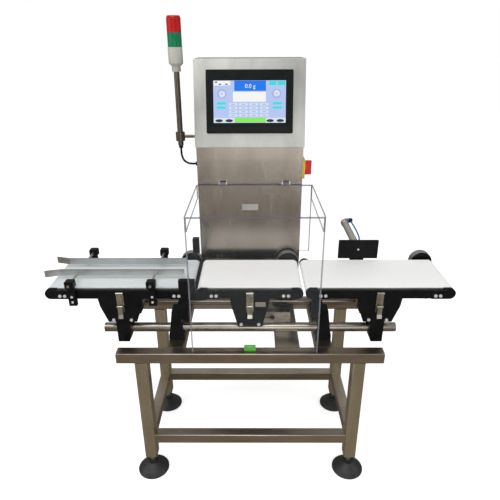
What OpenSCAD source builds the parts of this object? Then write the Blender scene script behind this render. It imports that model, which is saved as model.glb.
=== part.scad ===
// Belt checkweigher on a welded stand: an infeed, a weighing and an outfeed conveyor
// on two shafts, a terminal cabinet with a tower light, a clear guard and an air pusher.
// X runs with the belts, Y to the cabinet, Z up. The shapes are drawn about the stand's middle on the
// floor, and place() then moves them so that the origin is under the middle of the whole machine.

/* [Stand] */
// Width over the legs
stand_w = 724; // [640:1:800]
// Depth over the legs
stand_d = 368; // [352:1:420]
// Outside of a leg's square tube
leg_w = 40; // [34:1:44]
// Wall of all the square tubes
tube_wall = 2; // [1.2:0.1:3]
// Height of the top rails' upper face
rail_top_z = 500; // [440:1:508]
// Length of the top rails
rail_len = 836; // [780:1:900]
// Depth of a top rail
rail_d = 38; // [34:1:42]
// Height of a top rail
rail_h = 36; // [30:1:44]
// Height of the lower rails' upper face
lower_top_z = 167; // [130:1:260]
// Outside of a lower rail's square tube
lower_w = 35; // [28:1:38]
// Height of the legs' open ends above the floor
leg_bottom_z = 70; // [62:1:90]
// Distance of the shaft rails from the middle
cross_x = 236; // [228:1:244]
// Width of the shaft rails
cross_w = 52; // [46:1:60]
// Place of the weighing beam along the stand
weigh_beam_x = 120; // [112:1:124]
// Width of the weighing beam
weigh_beam_w = 76; // [60:1:90]

/* [Feet] */
// Diameter of a foot's pad
pad_d = 106; // [80:1:120]
// Height of a foot's pad
pad_h = 44; // [36:1:50]
// Diameter of a foot's threaded stem
stem_d = 16; // [10:1:18]

/* [Shafts] */
// Diameter of the two conveyor shafts
shaft_d = 30; // [24:0.5:32]
// Wall of the shafts
shaft_wall = 2.5; // [1.5:0.1:4]
// Length of the shafts
shaft_len = 940; // [900:1:1100]
// Distance of each shaft's axis from the middle
shaft_y = 85; // [82:0.5:87]
// Height of the shafts' axis above the rails
shaft_rise = 36; // [33:0.5:38]

/* [Conveyors] */
// Height of the belts' upper face above the rails
belt_rise = 190; // [186:0.5:200]
// Width of a belt
belt_w = 200; // [190:1:200]
// Length of the weighing conveyor
weigh_len = 330; // [310:1:332]
// Length of an infeed or outfeed conveyor
outer_len = 460; // [440:1:480]
// Gap between two conveyors
conveyor_gap = 8; // [5:0.5:12]
// Diameter of a roller
roller_d = 30; // [26:0.5:30]
// Thickness of a belt
belt_t = 1.7; // [1:0.1:2]
// Thickness of a side plate
plate_t = 8; // [5:0.5:8]
// Diameter of a drive motor
motor_d = 80; // [60:1:80]

/* [Cabinet] */
// Width of the cabinet
cabinet_w = 350; // [330:1:360]
// Depth of the column
column_d = 180; // [160:1:220]
// Height of the column above the rails
column_h = 576; // [560:1:640]
// Height of the head
head_h = 262; // [240:1:300]
// Sheet of the cabinet
sheet_t = 2; // [1:0.1:3]
// Overhang of the head's lower front edge
head_overhang = 30; // [20:1:40]
// How far the head's face leans back over its height
head_lean = 58; // [40:1:80]
// Width of the terminal
bezel_w = 272; // [250:1:290]
// Height of the terminal
bezel_h = 192; // [180:1:200]
// Width of the terminal's screen
screen_w = 226; // [200:1:236]
// Height of the terminal's screen
screen_h = 127; // [110:1:140]

/* [Guard] */
// Width of the guard
guard_w = 390; // [384:1:396]
// Height of the guard's lid above the rails
guard_rise = 447; // [430:1:470]
// Thickness of the clear sheet
guard_t = 5; // [3:0.5:6]
// Height of the lid's side skirts
skirt_h = 42; // [30:1:60]

/* [Tower light] */
// Diameter of the light
lamp_d = 45; // [38:1:50]
// Diameter of its pole
pole_d = 18; // [14:0.5:22]
// Height of one lens
lens_h = 41; // [34:1:48]

/* [Guides] */
// Width of the lane between the guide bars
lane_w = 82; // [60:1:110]
// Height of a guide bar
guide_h = 22; // [16:1:28]
// Diameter of a guide's rods
guide_rod_d = 8; // [6:0.5:10]

/* [Pusher] */
// Width of the pusher's plate
pusher_w = 136; // [110:1:150]
// Height of the pusher's plate
pusher_h = 67; // [56:1:72]
// Stroke of the pusher
pusher_stroke = 150; // [100:1:150]
// Diameter of the air cylinder
cylinder_d = 25; // [20:0.5:28]

/* [Hidden] */
$fn = 48;

// Overrun of every cut
cut = 1;
// Play of a shaft in its bore
running = 0.05;
// Gap between pieces that pass each other
gap = 0.3;

// Stand
rail_bottom_z = rail_top_z - rail_h;
rail_inner_y = stand_d / 2 - rail_d;
leg_x = (stand_w - leg_w) / 2;
leg_y = (stand_d - leg_w) / 2;
cap_t = 2;
corner_r = 3;
insert_t = 6;
insert_boss_r = 13;
insert_boss_h = 22;

// Feet
stem_r = stem_d / 2;
stem_top_z = leg_bottom_z + insert_t + insert_boss_h + 10;
pad_rim_h = 5;
pad_neck_r = 17;
pad_collar_h = 9;
pad_sole_r = pad_d / 2 - 3;
nut_h = 10;
nut_r = 15;

// Shafts and their clamps
shaft_r = shaft_d / 2;
shaft_z = rail_top_z + shaft_rise;
clamp_d = 44;
clamp_half_w = 25;
clamp_foot_h = 18;
clamp_short_h = 24;
clamp_top_rise = 73;
clamp_top_share = 0.45;

// Conveyors: one end roller's axis lies end_r inside the conveyor's end
belt_z = rail_top_z + belt_rise;
roller_r = roller_d / 2;
loop_in_r = roller_r + gap;
end_r = loop_in_r + belt_t;
roller_z = belt_z - end_r;
loop_bottom_z = roller_z - end_r;
plate_in_y = belt_w / 2 + 4;
plate_out_y = plate_in_y + plate_t;
block_t = plate_t + 2;
block_out_y = plate_in_y + block_t;
block_len = 72;
block_r = end_r + 0.5;
block_bottom_z = roller_z - block_r;
strip_top_z = belt_z - 6;
strip_bottom_z = loop_bottom_z;
weigh_x0 = -weigh_len / 2;
weigh_x1 = weigh_len / 2;
outfeed_x0 = weigh_x1 + conveyor_gap;
outfeed_x1 = outfeed_x0 + outer_len;
infeed_x1 = -outfeed_x0;
infeed_x0 = -outfeed_x1;
outfeed_x = (outfeed_x0 + outfeed_x1) / 2;
infeed_x = -outfeed_x;
weigh_x = 0;
conveyor_ends = [[infeed_x0, infeed_x1], [weigh_x0, weigh_x1], [outfeed_x0, outfeed_x1]];
bed_clear = 2;
bed_sheet = 2;
axle_r = 5;
roller_side_gap = 1;
roller_half_w = belt_w / 2 - roller_side_gap;
drive_axle_y = block_out_y + 14;
pulley_r = 12;
pulley_t = 10;

// Hanging part of a side plate
outer_hang_half_w = 70;
outer_hang_foot_w = 45;
outer_hang_z = shaft_z + 36;
weigh_hang_half_w = 62;
weigh_hang_foot_w = 38;
weigh_hang_z = shaft_z + 19;
hang_shoulder_drop = 27;
hang_shoulder_in = 4;

// Clamp that a hanging plate stands on
hanger_half_w = 22;
hanger_foot_drop = 38;
hanger_foot_half_w = 14;

// Drives
motor_r = motor_d / 2;
motor_len = 90;
motor_cap_len = 12;
motor_cap_r = motor_r - 5;
housing_r = 38;
housing_back = 33;
housing_t = 26;
motor_z = block_bottom_z - motor_r - 3;
housing_out_y = block_out_y + housing_t;
pocket_r = 13;

// Bolts
bolt_r = 3;
bolt_head_r = 5;
bolt_head_h = 3;
bolt_socket_r = 2.5;
bolt_socket_h = 2;
block_bolt_xs = [46, 61];
carrier_t = 16;
carrier_hole_l = 12;
foot_bolt_rise = carrier_t / 2;
foot_bolt_l = plate_t + 10;
foot_bolt_half = 28;

// Latches
latch_half_w = 11;
latch_plate_t = 2;
latch_pin_z = strip_bottom_z - 24;
latch_pin_out = 9;
latch_y = -(plate_out_y + latch_pin_out);
latch_pin_r = 2;
latch_barrel_r = 3.6;
latch_len = 38;
latch_lever_half_w = 7.5;
latch_lever_t = 2.5;
latch_top_z = strip_top_z - 5;
latch_base_drop = 24;
ear_t = 2.5;
latch_ear_r = 3;
latch_strap_lift = 8;

// Weighing
cell_x0 = -24;
cell_x1 = weigh_beam_x + 16;
cell_half_w = 20;
cell_h = 38;
cell_z = weigh_hang_z - cell_h - 4;
cell_hole_r = 9;
cell_hole_half = 18;
cell_slot_h = 4;
pad_half_w = 20;
weigh_carrier_half_w = 34;
outer_carrier_half_w = 40;

// Guides
post_xs = [infeed_x0 + block_len + 14, infeed_x0 + 333];
post_half_w = 12;
post_t = 12;
post_bottom_z = strip_bottom_z - 19;
head_half_w = 14;
head_half_h = 12;
head_t = 22;
guide_z = belt_z + 12;
guide_rod_z = guide_z + 10;
guide_t = 3;
guide_x0 = infeed_x0 - 17;
guide_x1 = infeed_x1 - 36;
flare_len = 46;
flare_out = 12;
guide_rod_r = guide_rod_d / 2;
guide_rod_over = 8;
guide_head_in_y = plate_out_y - 2;

// Photo eye and its reflector
eye_x = infeed_x1 - 16;
eye_half_w = 11;
eye_d = 22;
eye_h = 46;
eye_z = roller_z + housing_r + 3;
eye_plate_t = 2;
eye_plate_drop = 60;
eye_lens_r = 5;
eye_lens_h = 3;
reflector_x0 = infeed_x1 - 43;
reflector_w = 50;
reflector_h = 44;
reflector_d = 16;
reflector_z = belt_z - 6;
strap_in = 6;
strap_w = 30;
strap_drop = 24;
strap_t = 2;

// Pusher
pusher_x = outfeed_x - 30;
pusher_z = belt_z + 5;
pusher_t = 8;
pusher_back_y = belt_w / 2 + 9;
cylinder_r = cylinder_d / 2;
cylinder_z = pusher_z + pusher_h / 2;
cylinder_wall = 2;
piston_r = cylinder_r - cylinder_wall - gap;
piston_t = 10;
rod_r = 5;
cylinder_y0 = plate_out_y + 6;
nose_t = 6;
cylinder_len = pusher_stroke + 104;
cylinder_y1 = cylinder_y0 + cylinder_len;
cap_r = cylinder_r + 2;
cap_len = 18;
rear_wall = 6;
mount_half_w = 24;
mount_t = 8;
mount_z = outer_hang_z + 30;
mount_block_y1 = cylinder_y0 + 16;
mount_rise = 16;
valve_half_w = 20;
valve_d = 32;
valve_h = 46;
elbow_w = 14;
elbow_x = pusher_x + cap_r + elbow_w / 2;
elbow_lift = 4;
elbow_z = cylinder_z + elbow_lift + elbow_w / 2;
short_port_h = 6;
port_in = 2;
short_port_z = cylinder_z - cap_r - short_port_h;
valve_top_z = mount_z + valve_h;
hose_r = 3;
hose_sides = 8;

// Hoses: round points chosen by hand, relative to where each one starts
hose_route = [[0, 0, 0], [0, -15, 0], [0, -60, 2], [1, -110, 0], [2, -148, -6], [0, -174, -20],
    [-5, -194, -44], [-9, -206, -68], [-9, -210, -80], [-9, -210, valve_top_z - elbow_z]];
short_hose_route = [[0, 0, 0], [0, 0, -12], [0, 2, -30], [0, 2, -48], [0, 2, valve_top_z - short_port_z]];

// Cabinet
column_y0 = 150;
column_y1 = column_y0 + column_d;
column_top_z = rail_top_z + column_h;
head_top_z = column_top_z + head_h;
head_y0 = column_y0 - head_overhang;
head_y_top = head_y0 + head_lean;
face_angle = atan(head_lean / head_h);
face_len = head_h / cos(face_angle);
face_mid = face_len * 0.52;
bezel_t = 8;
case_d = 45;
case_w = bezel_w - 26;
case_h = bezel_h - 20;
screen_sink = 0.8;
screen_t = 3;
bezel_step = 3;
cover_t = 2;
cover_margin = 6;
access_margin = 20;

// Switch
switch_y = column_y0 + 50;
switch_z = column_top_z - 84;
switch_size = 64;
switch_t = 10;
switch_hub_r = 24;
switch_hub_t = 10;
switch_grip_half_w = 7;
switch_grip_t = 14;
switch_shaft_r = 4;

// Tower light
lamp_x = -(cabinet_w / 2 + 56);
lamp_y = column_y0 + 50;
lamp_r = lamp_d / 2;
pole_r = pole_d / 2;
pole_wall = 1.5;
pole_z0 = column_top_z - 7;
pole_z1 = pole_z0 + 231;
bracket_z = column_top_z + 22;
bracket_r = 15;
bracket_half_h = 14;
bracket_rod_r = 5;
socket_r = 14;
socket_h = 16;
base_h = 55;
base_chamfer = 8;
lens_r = lamp_r - 0.5;
lens_groove = 0.8;
lens_ribs = 7;
lamp_cap_h = 6;
cable_r = 3.5;
gland_r = 7;
gland_h = 9;

// Guard
guard_x0 = -180;
guard_x1 = guard_x0 + guard_w;
guard_y0 = -175;
lid_z = rail_top_z + guard_rise - guard_t;
lid_y1 = column_y0 - 5;
hinge_y = column_y0 - 8;
hinge_z = lid_z + guard_t + 6;
hinge_pin_r = 2;
hinge_barrel_r = 6;
hinge_half_w = 10;
hinge_ear_t = 4;
hinge_xs = [guard_x0 + 90, guard_x1 - 90];
rear_strip_bottom_z = belt_z + 12;

// Bubble level
level_w = 36;
level_d = 16;
level_h = 13;
level_y = guard_y0 + guard_t + 10;
level_vial_r = 5;

// Lead of the tower light: points chosen by hand, relative to where it starts
cable_route = [[0, 0, 0], [0, 0, -14], [2, 0, -30], [9, 0, -44], [22, 0, -52], [34, 0, -54], [47, 0, -54]];

// Outer ends of the whole machine: the guide bars, the outfeed motor, a front foot and the air cylinder
machine_x0 = guide_x0;
machine_x1 = outfeed_x1 - housing_back + motor_r;
machine_y0 = -leg_y - pad_d / 2;
machine_y1 = cylinder_y1;
module place() translate([-(machine_x0 + machine_x1) / 2, -(machine_y0 + machine_y1) / 2, 0]) children();

// A box between two values on each axis
module box(x, y, z) translate([x[0], y[0], z[0]]) cube([x[1] - x[0], y[1] - y[0], z[1] - z[0]]);

// A round bar along Y, or along X
module bar_y(r, y, x, z) translate([x, y[0], z]) rotate([-90, 0, 0]) cylinder(r = r, h = y[1] - y[0]);
module bar_x(r, x, y, z) translate([x[0], y, z]) rotate([0, 90, 0]) cylinder(r = r, h = x[1] - x[0]);

// An outline in X and Z with thickness along Y, or in Y and Z with length along X
module slab_y(y) translate([0, y[1], 0]) rotate([90, 0, 0]) linear_extrude(y[1] - y[0]) children();
module slab_x(x) translate([x[0], 0, 0]) rotate([90, 0, 90]) linear_extrude(x[1] - x[0]) children();

// A rectangle with round corners between two corner points
module round_rect(lo, hi, r) {
    translate([lo[0] + r, lo[1]]) square([hi[0] - lo[0] - 2 * r, hi[1] - lo[1]]);
    translate([lo[0], lo[1] + r]) square([hi[0] - lo[0], hi[1] - lo[1] - 2 * r]);
    for (x = [lo[0] + r, hi[0] - r], y = [lo[1] + r, hi[1] - r]) translate([x, y]) circle(r);
}

// The wall of a square tube between two corner points
module tube_2d(lo, hi) difference() {
    round_rect(lo, hi, corner_r);
    translate(lo + [tube_wall, tube_wall]) square(hi - lo - 2 * [tube_wall, tube_wall]);
}

// A tube swept along points, with flat ends
function unit(v) = v / norm(v);
function tangent(p, i) = unit(p[min(i + 1, len(p) - 1)] - p[max(i - 1, 0)]);
function ring(c, t, side, r, n) = [for (k = [0 : n - 1])
    c + r * (cos(360 * k / n) * side + sin(360 * k / n) * cross(t, side))];
module swept(points, r, n, side) {
    rings = [for (i = [0 : len(points) - 1])
        let (t = tangent(points, i)) ring(points[i], t, unit(side - t * (side * t)), r, n)];
    last = len(points) - 1;
    polyhedron([for (q = rings) each q],
        concat([[for (k = [0 : n - 1]) k]],
            [for (i = [0 : last - 1], k = [0 : n - 1])
                each [[i * n + k, (i + 1) * n + (k + 1) % n, i * n + (k + 1) % n],
                      [i * n + k, (i + 1) * n + k, (i + 1) * n + (k + 1) % n]]],
            [[for (k = [0 : n - 1]) last * n + n - 1 - k]]));
}
// Points of a smooth curve through a route
function smooth(p, steps) = [for (i = [0 : len(p) - 2], s = [0 : steps - 1])
    let (a = p[max(i - 1, 0)], b = p[i], c = p[i + 1], d = p[min(i + 2, len(p) - 1)], t = s / steps)
    0.5 * (2 * b + (c - a) * t + (2 * a - 5 * b + 4 * c - d) * t * t + (3 * b - a - 3 * c + d) * t * t * t)];
function route(p, start, steps) = [for (q = concat(smooth(p, steps), [p[len(p) - 1]])) start + q];

// Stand
module top_rails() color([0.66, 0.62, 0.56]) {
    for (s = [-1, 1])
        slab_x([cap_t - rail_len / 2, rail_len / 2 - cap_t])
            tube_2d([s > 0 ? rail_inner_y : -stand_d / 2, rail_bottom_z],
                [s > 0 ? stand_d / 2 : -rail_inner_y, rail_top_z]);
    for (b = [[-cross_x, cross_w], [cross_x, cross_w], [weigh_beam_x, weigh_beam_w]])
        slab_y([-rail_inner_y, rail_inner_y])
            tube_2d([b[0] - b[1] / 2, rail_bottom_z], [b[0] + b[1] / 2, rail_top_z]);
}

module legs() color([0.68, 0.64, 0.57])
    for (x = [-leg_x, leg_x], y = [-leg_y, leg_y])
        translate([x, y, leg_bottom_z]) linear_extrude(rail_bottom_z - leg_bottom_z)
            tube_2d([-leg_w / 2, -leg_w / 2], [leg_w / 2, leg_w / 2]);

module lower_rails() color([0.64, 0.60, 0.54]) {
    for (y = [-leg_y, leg_y])
        slab_x([leg_w / 2 - leg_x, leg_x - leg_w / 2])
            tube_2d([y - lower_w / 2, lower_top_z - lower_w], [y + lower_w / 2, lower_top_z]);
    for (x = [-leg_x, leg_x])
        slab_y([leg_w / 2 - leg_y, leg_y - leg_w / 2])
            tube_2d([x - lower_w / 2, lower_top_z - lower_w], [x + lower_w / 2, lower_top_z]);
}

// End plates of the top rails, and the threaded inserts in the legs
module tube_plugs() color([0.62, 0.60, 0.56]) {
    for (s = [-1, 1], e = [-1, 1])
        slab_x([e * (rail_len - cap_t) / 2 - cap_t / 2, e * (rail_len - cap_t) / 2 + cap_t / 2])
            round_rect([s > 0 ? rail_inner_y : -stand_d / 2, rail_bottom_z],
                [s > 0 ? stand_d / 2 : -rail_inner_y, rail_top_z], corner_r);
    for (x = [-leg_x, leg_x], y = [-leg_y, leg_y]) translate([x, y, leg_bottom_z]) difference() {
        union() {
            in_w = leg_w - 2 * tube_wall;
            translate([-in_w / 2, -in_w / 2, 0]) cube([in_w, in_w, insert_t]);
            cylinder(r = insert_boss_r, h = insert_t + insert_boss_h);
        }
        translate([0, 0, -cut]) cylinder(r = stem_r + running, h = insert_t + insert_boss_h + 2 * cut);
    }
}

module foot_lock_nuts() color([0.75, 0.74, 0.70])
    for (x = [-leg_x, leg_x], y = [-leg_y, leg_y]) translate([x, y, leg_bottom_z - nut_h]) difference() {
        cylinder(r = nut_r, h = nut_h, $fn = 6);
        translate([0, 0, -cut]) cylinder(r = stem_r + running, h = nut_h + 2 * cut);
    }

// A foot: a bell-shaped pad, and a threaded stem that stands in it
module foot(x, y) translate([x, y, 0]) {
    color([0.06, 0.06, 0.06]) rotate_extrude()
        polygon([[0, 0], [pad_sole_r, 0], [pad_d / 2, pad_rim_h / 2], [pad_d / 2, pad_rim_h],
            [pad_d / 2 * 0.82, pad_h * 0.36], [pad_d / 2 * 0.58, pad_h * 0.58], [pad_neck_r, pad_h - pad_collar_h],
            [pad_neck_r, pad_h], [0, pad_h]]);
    color([0.75, 0.74, 0.70]) translate([0, 0, pad_h]) cylinder(r = stem_r, h = stem_top_z - pad_h);
}

// Shafts
module support_shafts() color([0.72, 0.70, 0.66])
    for (y = [-shaft_y, shaft_y]) difference() {
        bar_x(shaft_r, [-shaft_len / 2, shaft_len / 2], y, shaft_z);
        bar_x(shaft_r - shaft_wall, [-shaft_len / 2 - cut, shaft_len / 2 + cut], y, shaft_z);
    }

// A clamp on a shaft rail. The front ones are tall and carry an arm under the conveyor's end.
module rail_clamp(s, tall) difference() {
    union() {
        top_z = tall ? rail_top_z + clamp_top_rise + 36 : shaft_z + clamp_short_h;
        slab_y(tall ? [-shaft_y - clamp_d / 2, -shaft_y + clamp_d / 2] : [shaft_y - clamp_d / 2, shaft_y + clamp_d / 2])
            polygon([for (p = [[-clamp_half_w, rail_top_z], [clamp_half_w, rail_top_z],
                [clamp_half_w, rail_top_z + clamp_foot_h], [shaft_r + 5, shaft_z + 6],
                [clamp_half_w * clamp_top_share, top_z], [-clamp_half_w * clamp_top_share, top_z],
                [-shaft_r - 5, shaft_z + 6], [-clamp_half_w, rail_top_z + clamp_foot_h]])
                [s * (cross_x + p[0]), p[1]]]);
        if (tall) box(s > 0 ? [cross_x - 42, cross_x - 15] : [15 - cross_x, 42 - cross_x],
            [-plate_out_y, -shaft_y - shaft_r - running], [shaft_z + 44, block_bottom_z]);
        if (tall) box(s > 0 ? [cross_x - 42, cross_x] : [-cross_x, 42 - cross_x],
            [-plate_out_y + 5, -shaft_y], [shaft_z + 44, shaft_z + 64]);
    }
    bar_x(shaft_r + running, s > 0 ? [0, 2 * cross_x] : [-2 * cross_x, 0], tall ? -shaft_y : shaft_y, shaft_z);
}

// A clamp under a hanging plate
module hanger_clamp(s, f) difference() {
    slab_y(f < 0 ? [-plate_out_y, -shaft_y + clamp_d / 2 + 3] : [shaft_y - clamp_d / 2 - 3, plate_out_y])
        polygon([for (p = [[hanger_half_w, outer_hang_z], [hanger_half_w, shaft_z - hanger_foot_drop],
            [-hanger_foot_half_w, shaft_z - hanger_foot_drop], [-hanger_half_w, shaft_z - 8],
            [-hanger_half_w, outer_hang_z - 6], [6 - hanger_half_w, outer_hang_z]])
            [s * (outfeed_x + p[0]), p[1]]]);
    bar_x(shaft_r + running, s > 0 ? [0, 2 * outfeed_x] : [-2 * outfeed_x, 0], f * shaft_y, shaft_z);
}

module shaft_clamps() color([0.05, 0.05, 0.05])
    for (s = [-1, 1]) {
        rail_clamp(s, true);
        rail_clamp(s, false);
        for (f = [-1, 1]) hanger_clamp(s, f);
    }

// Side plate of a conveyor: a strip along the belt and the part that hangs under it
module side_outline(ends, half_w, foot_w, foot_z) {
    mid = (ends[0] + ends[1]) / 2;
    translate([ends[0] + block_len, strip_bottom_z])
        square([ends[1] - ends[0] - 2 * block_len, strip_top_z - strip_bottom_z]);
    polygon([[mid - half_w, strip_bottom_z + cut], [mid - half_w + hang_shoulder_in, strip_bottom_z - hang_shoulder_drop],
        [mid - foot_w, foot_z], [mid + foot_w, foot_z],
        [mid + half_w - hang_shoulder_in, strip_bottom_z - hang_shoulder_drop], [mid + half_w, strip_bottom_z + cut]]);
}

module side_plates(ends, half_w, foot_w, foot_z) color([0.05, 0.05, 0.05])
    for (f = [-1, 1]) difference() {
        slab_y(f < 0 ? [-plate_out_y, -plate_in_y] : [plate_in_y, plate_out_y])
            side_outline(ends, half_w, foot_w, foot_z);
        for (e = [-1, 1])
            bar_y(bolt_r + running, f < 0 ? [-plate_out_y - cut, -plate_in_y + cut] : [plate_in_y - cut, plate_out_y + cut],
                (ends[0] + ends[1]) / 2 + e * foot_bolt_half, foot_z + foot_bolt_rise);
    }

module infeed_side_plates() side_plates(conveyor_ends[0], outer_hang_half_w, outer_hang_foot_w, outer_hang_z);
module weigh_side_plates() side_plates(conveyor_ends[1], weigh_hang_half_w, weigh_hang_foot_w, weigh_hang_z);
module outfeed_side_plates() side_plates(conveyor_ends[2], outer_hang_half_w, outer_hang_foot_w, outer_hang_z);

// Sheet beds that the belts slide over, open below
module slider_beds() color([0.75, 0.75, 0.74])
    for (e = conveyor_ends)
        slab_x([e[0] + 2 * end_r + bed_clear, e[1] - 2 * end_r - bed_clear]) {
            top_z = roller_z + loop_in_r;
            translate([-plate_in_y, top_z - bed_sheet]) square([2 * plate_in_y, bed_sheet]);
            for (y = [-plate_in_y, plate_in_y - bed_sheet])
                translate([y, strip_bottom_z + 4]) square([bed_sheet, top_z - strip_bottom_z - 4]);
        }

// A belt: one closed loop round both rollers
module loop_2d(ends, r) {
    for (x = [ends[0] + end_r, ends[1] - end_r]) translate([x, roller_z]) circle(r);
    translate([ends[0] + end_r, roller_z - r]) square([ends[1] - ends[0] - 2 * end_r, 2 * r]);
}
module belt(ends) color([0.93, 0.94, 0.93])
    slab_y([-belt_w / 2, belt_w / 2]) difference() {
        loop_2d(ends, end_r);
        loop_2d(ends, loop_in_r);
    }
module infeed_belt() belt(conveyor_ends[0]);
module weigh_belt() belt(conveyor_ends[1]);
module outfeed_belt() belt(conveyor_ends[2]);

// Rollers with their axles. A drive roller also has a toothed pulley in the drive's housing.
module tail_roller(ends) color([0.70, 0.70, 0.68]) {
    x = ends[0] + end_r;
    bar_y(roller_r, [-roller_half_w, roller_half_w], x, roller_z);
    bar_y(axle_r, [-block_out_y, block_out_y], x, roller_z);
}
module drive_roller(ends) color([0.70, 0.70, 0.68]) {
    x = ends[1] - end_r;
    bar_y(roller_r, [-roller_half_w, roller_half_w], x, roller_z);
    bar_y(axle_r, [-block_out_y, drive_axle_y], x, roller_z);
    bar_y(pulley_r, [drive_axle_y - pulley_t, drive_axle_y], x, roller_z);
}
module infeed_drive_roller() drive_roller(conveyor_ends[0]);
module weigh_drive_roller() drive_roller(conveyor_ends[1]);
module outfeed_drive_roller() drive_roller(conveyor_ends[2]);
module infeed_tail_roller() tail_roller(conveyor_ends[0]);
module weigh_tail_roller() tail_roller(conveyor_ends[1]);
module outfeed_tail_roller() tail_roller(conveyor_ends[2]);

// Flat gear motors under the belts' ends, each hung on its drive housing
module drive_motors() color([0.10, 0.10, 0.10])
    for (e = conveyor_ends) {
        x = e[1] - housing_back;
        y1 = block_out_y;
        bar_y(motor_r, [y1 - motor_len + motor_cap_len, y1], x, motor_z);
        bar_y(motor_cap_r, [y1 - motor_len, y1 - motor_len + motor_cap_len], x, motor_z);
    }

// Closed housings of the toothed belts, with a pocket for the roller's pulley
module drive_housings() color([0.12, 0.12, 0.12])
    for (e = conveyor_ends) difference() {
        slab_y([block_out_y, housing_out_y]) {
            x = e[1] - housing_back;
            for (z = [roller_z, motor_z]) translate([x, z]) circle(housing_r);
            translate([x - housing_r, motor_z]) square([2 * housing_r, roller_z - motor_z]);
        }
        bar_y(pocket_r, [block_out_y - cut, drive_axle_y + gap], e[1] - end_r, roller_z);
    }

// Blocks that hold the rollers' axles at each end of each side
module tension_block(x, s, f, bolts) difference() {
    slab_y(f < 0 ? [-block_out_y, -plate_in_y] : [plate_in_y, block_out_y]) {
        translate([x - s * end_r, roller_z]) circle(block_r);
        translate([min(x - s * end_r, x - s * block_len), block_bottom_z])
            square([block_len - end_r, strip_top_z - block_bottom_z]);
    }
    bar_y(axle_r + running, [f < 0 ? -block_out_y - cut : plate_in_y - cut, f < 0 ? -plate_in_y + cut : block_out_y + cut],
        x - s * end_r, roller_z);
    if (bolts) for (d = block_bolt_xs)
        bar_y(bolt_r + running, [f < 0 ? -block_out_y - cut : plate_in_y - cut, f < 0 ? -plate_in_y + cut : block_out_y + cut],
            x - s * d, block_bolt_z);
}
block_bolt_z = roller_z - 6;
module tension_blocks() color([0.04, 0.04, 0.04])
    for (e = conveyor_ends, f = [-1, 1]) {
        tension_block(e[0], -1, f, true);
        tension_block(e[1], 1, f, f < 0);
    }

// A round-headed bolt from a face at y, pointing inwards
module bolt(x, y, z, f, depth) {
    bar_y(bolt_r, f < 0 ? [y, y + depth] : [y - depth, y], x, z);
    difference() {
        bar_y(bolt_head_r, f < 0 ? [y - bolt_head_h, y] : [y, y + bolt_head_h], x, z);
        bar_y(bolt_socket_r, f < 0 ? [y - bolt_head_h - cut, y - bolt_head_h + bolt_socket_h]
            : [y + bolt_head_h - bolt_socket_h, y + bolt_head_h + cut], x, z);
    }
}
module plate_bolts() color([0.8, 0.8, 0.78]) {
    for (i = [0, 1, 2], f = [-1, 1]) {
        e = conveyor_ends[i];
        for (d = block_bolt_xs) {
            bolt(e[0] + d, f * block_out_y, block_bolt_z, f, block_t);
            if (f < 0) bolt(e[1] - d, f * block_out_y, block_bolt_z, f, block_t);
        }
        for (s = [-1, 1])
            bolt((e[0] + e[1]) / 2 + s * foot_bolt_half, f * plate_out_y,
                (i == 1 ? weigh_hang_z : outer_hang_z) + foot_bolt_rise, f, foot_bolt_l);
    }
}

// Draw latches on the front plates: the base with its ears and pin, the strap, and the keeper above
module latch_bases() color([0.72, 0.70, 0.64])
    for (e = conveyor_ends) translate([(e[0] + e[1]) / 2, 0, 0]) {
        face_y = -plate_out_y - latch_plate_t;
        box([-latch_half_w, latch_half_w], [face_y, -plate_out_y], [latch_pin_z - latch_base_drop, latch_top_z]);
        for (x = [-latch_half_w, latch_half_w - ear_t])
            box([x, x + ear_t], [latch_y - latch_ear_r, face_y + latch_plate_t / 2],
                [latch_pin_z - latch_ear_r, latch_pin_z + latch_ear_r]);
        bar_x(latch_pin_r, [ear_t / 2 - latch_half_w, latch_half_w - ear_t / 2], latch_y, latch_pin_z);
        box([-latch_lever_half_w, latch_lever_half_w], [face_y - latch_plate_t, face_y + latch_plate_t / 2],
            [latch_pin_z + latch_strap_lift, latch_top_z - latch_barrel_r]);
        bar_x(latch_barrel_r, [-latch_half_w, latch_half_w], face_y - latch_barrel_r / 2, latch_top_z - latch_barrel_r);
    }

// A latch's lever: it hangs on its pin, with its tip bent out for the finger
module latch_lever(x) color([0.80, 0.78, 0.73]) translate([x, latch_y, latch_pin_z]) difference() {
    union() {
        bar_x(latch_barrel_r, [-latch_lever_half_w, latch_lever_half_w], 0, 0);
        slab_x([-latch_lever_half_w, latch_lever_half_w])
            polygon([[-latch_barrel_r, 0], [-latch_barrel_r, -latch_len * 0.7], [-latch_barrel_r - 5, -latch_len],
                [-latch_barrel_r - 5 + latch_lever_t, -latch_len], [latch_lever_t - latch_barrel_r, -latch_len * 0.7],
                [latch_lever_t - latch_barrel_r, 0]]);
    }
    bar_x(latch_pin_r + running, [-latch_half_w, latch_half_w], 0, 0);
}
module infeed_latch_lever() latch_lever(infeed_x);
module weigh_latch_lever() latch_lever(weigh_x);
module outfeed_latch_lever() latch_lever(outfeed_x);

// Load cell: a bar with two bores joined by a slot, fixed at one end and loaded at the other
module load_cell() color([0.78, 0.79, 0.80]) difference() {
    box([cell_x0, cell_x1], [-cell_half_w, cell_half_w], [cell_z, cell_z + cell_h]);
    mid_x = (cell_x0 + cell_x1) / 2;
    mid_z = cell_z + cell_h / 2;
    for (s = [-1, 1])
        bar_y(cell_hole_r, [-cell_half_w - cut, cell_half_w + cut], mid_x + s * cell_hole_half, mid_z);
    box([mid_x - cell_hole_half, mid_x + cell_hole_half], [-cell_half_w - cut, cell_half_w + cut],
        [mid_z - cell_slot_h / 2, mid_z + cell_slot_h / 2]);
}

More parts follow.
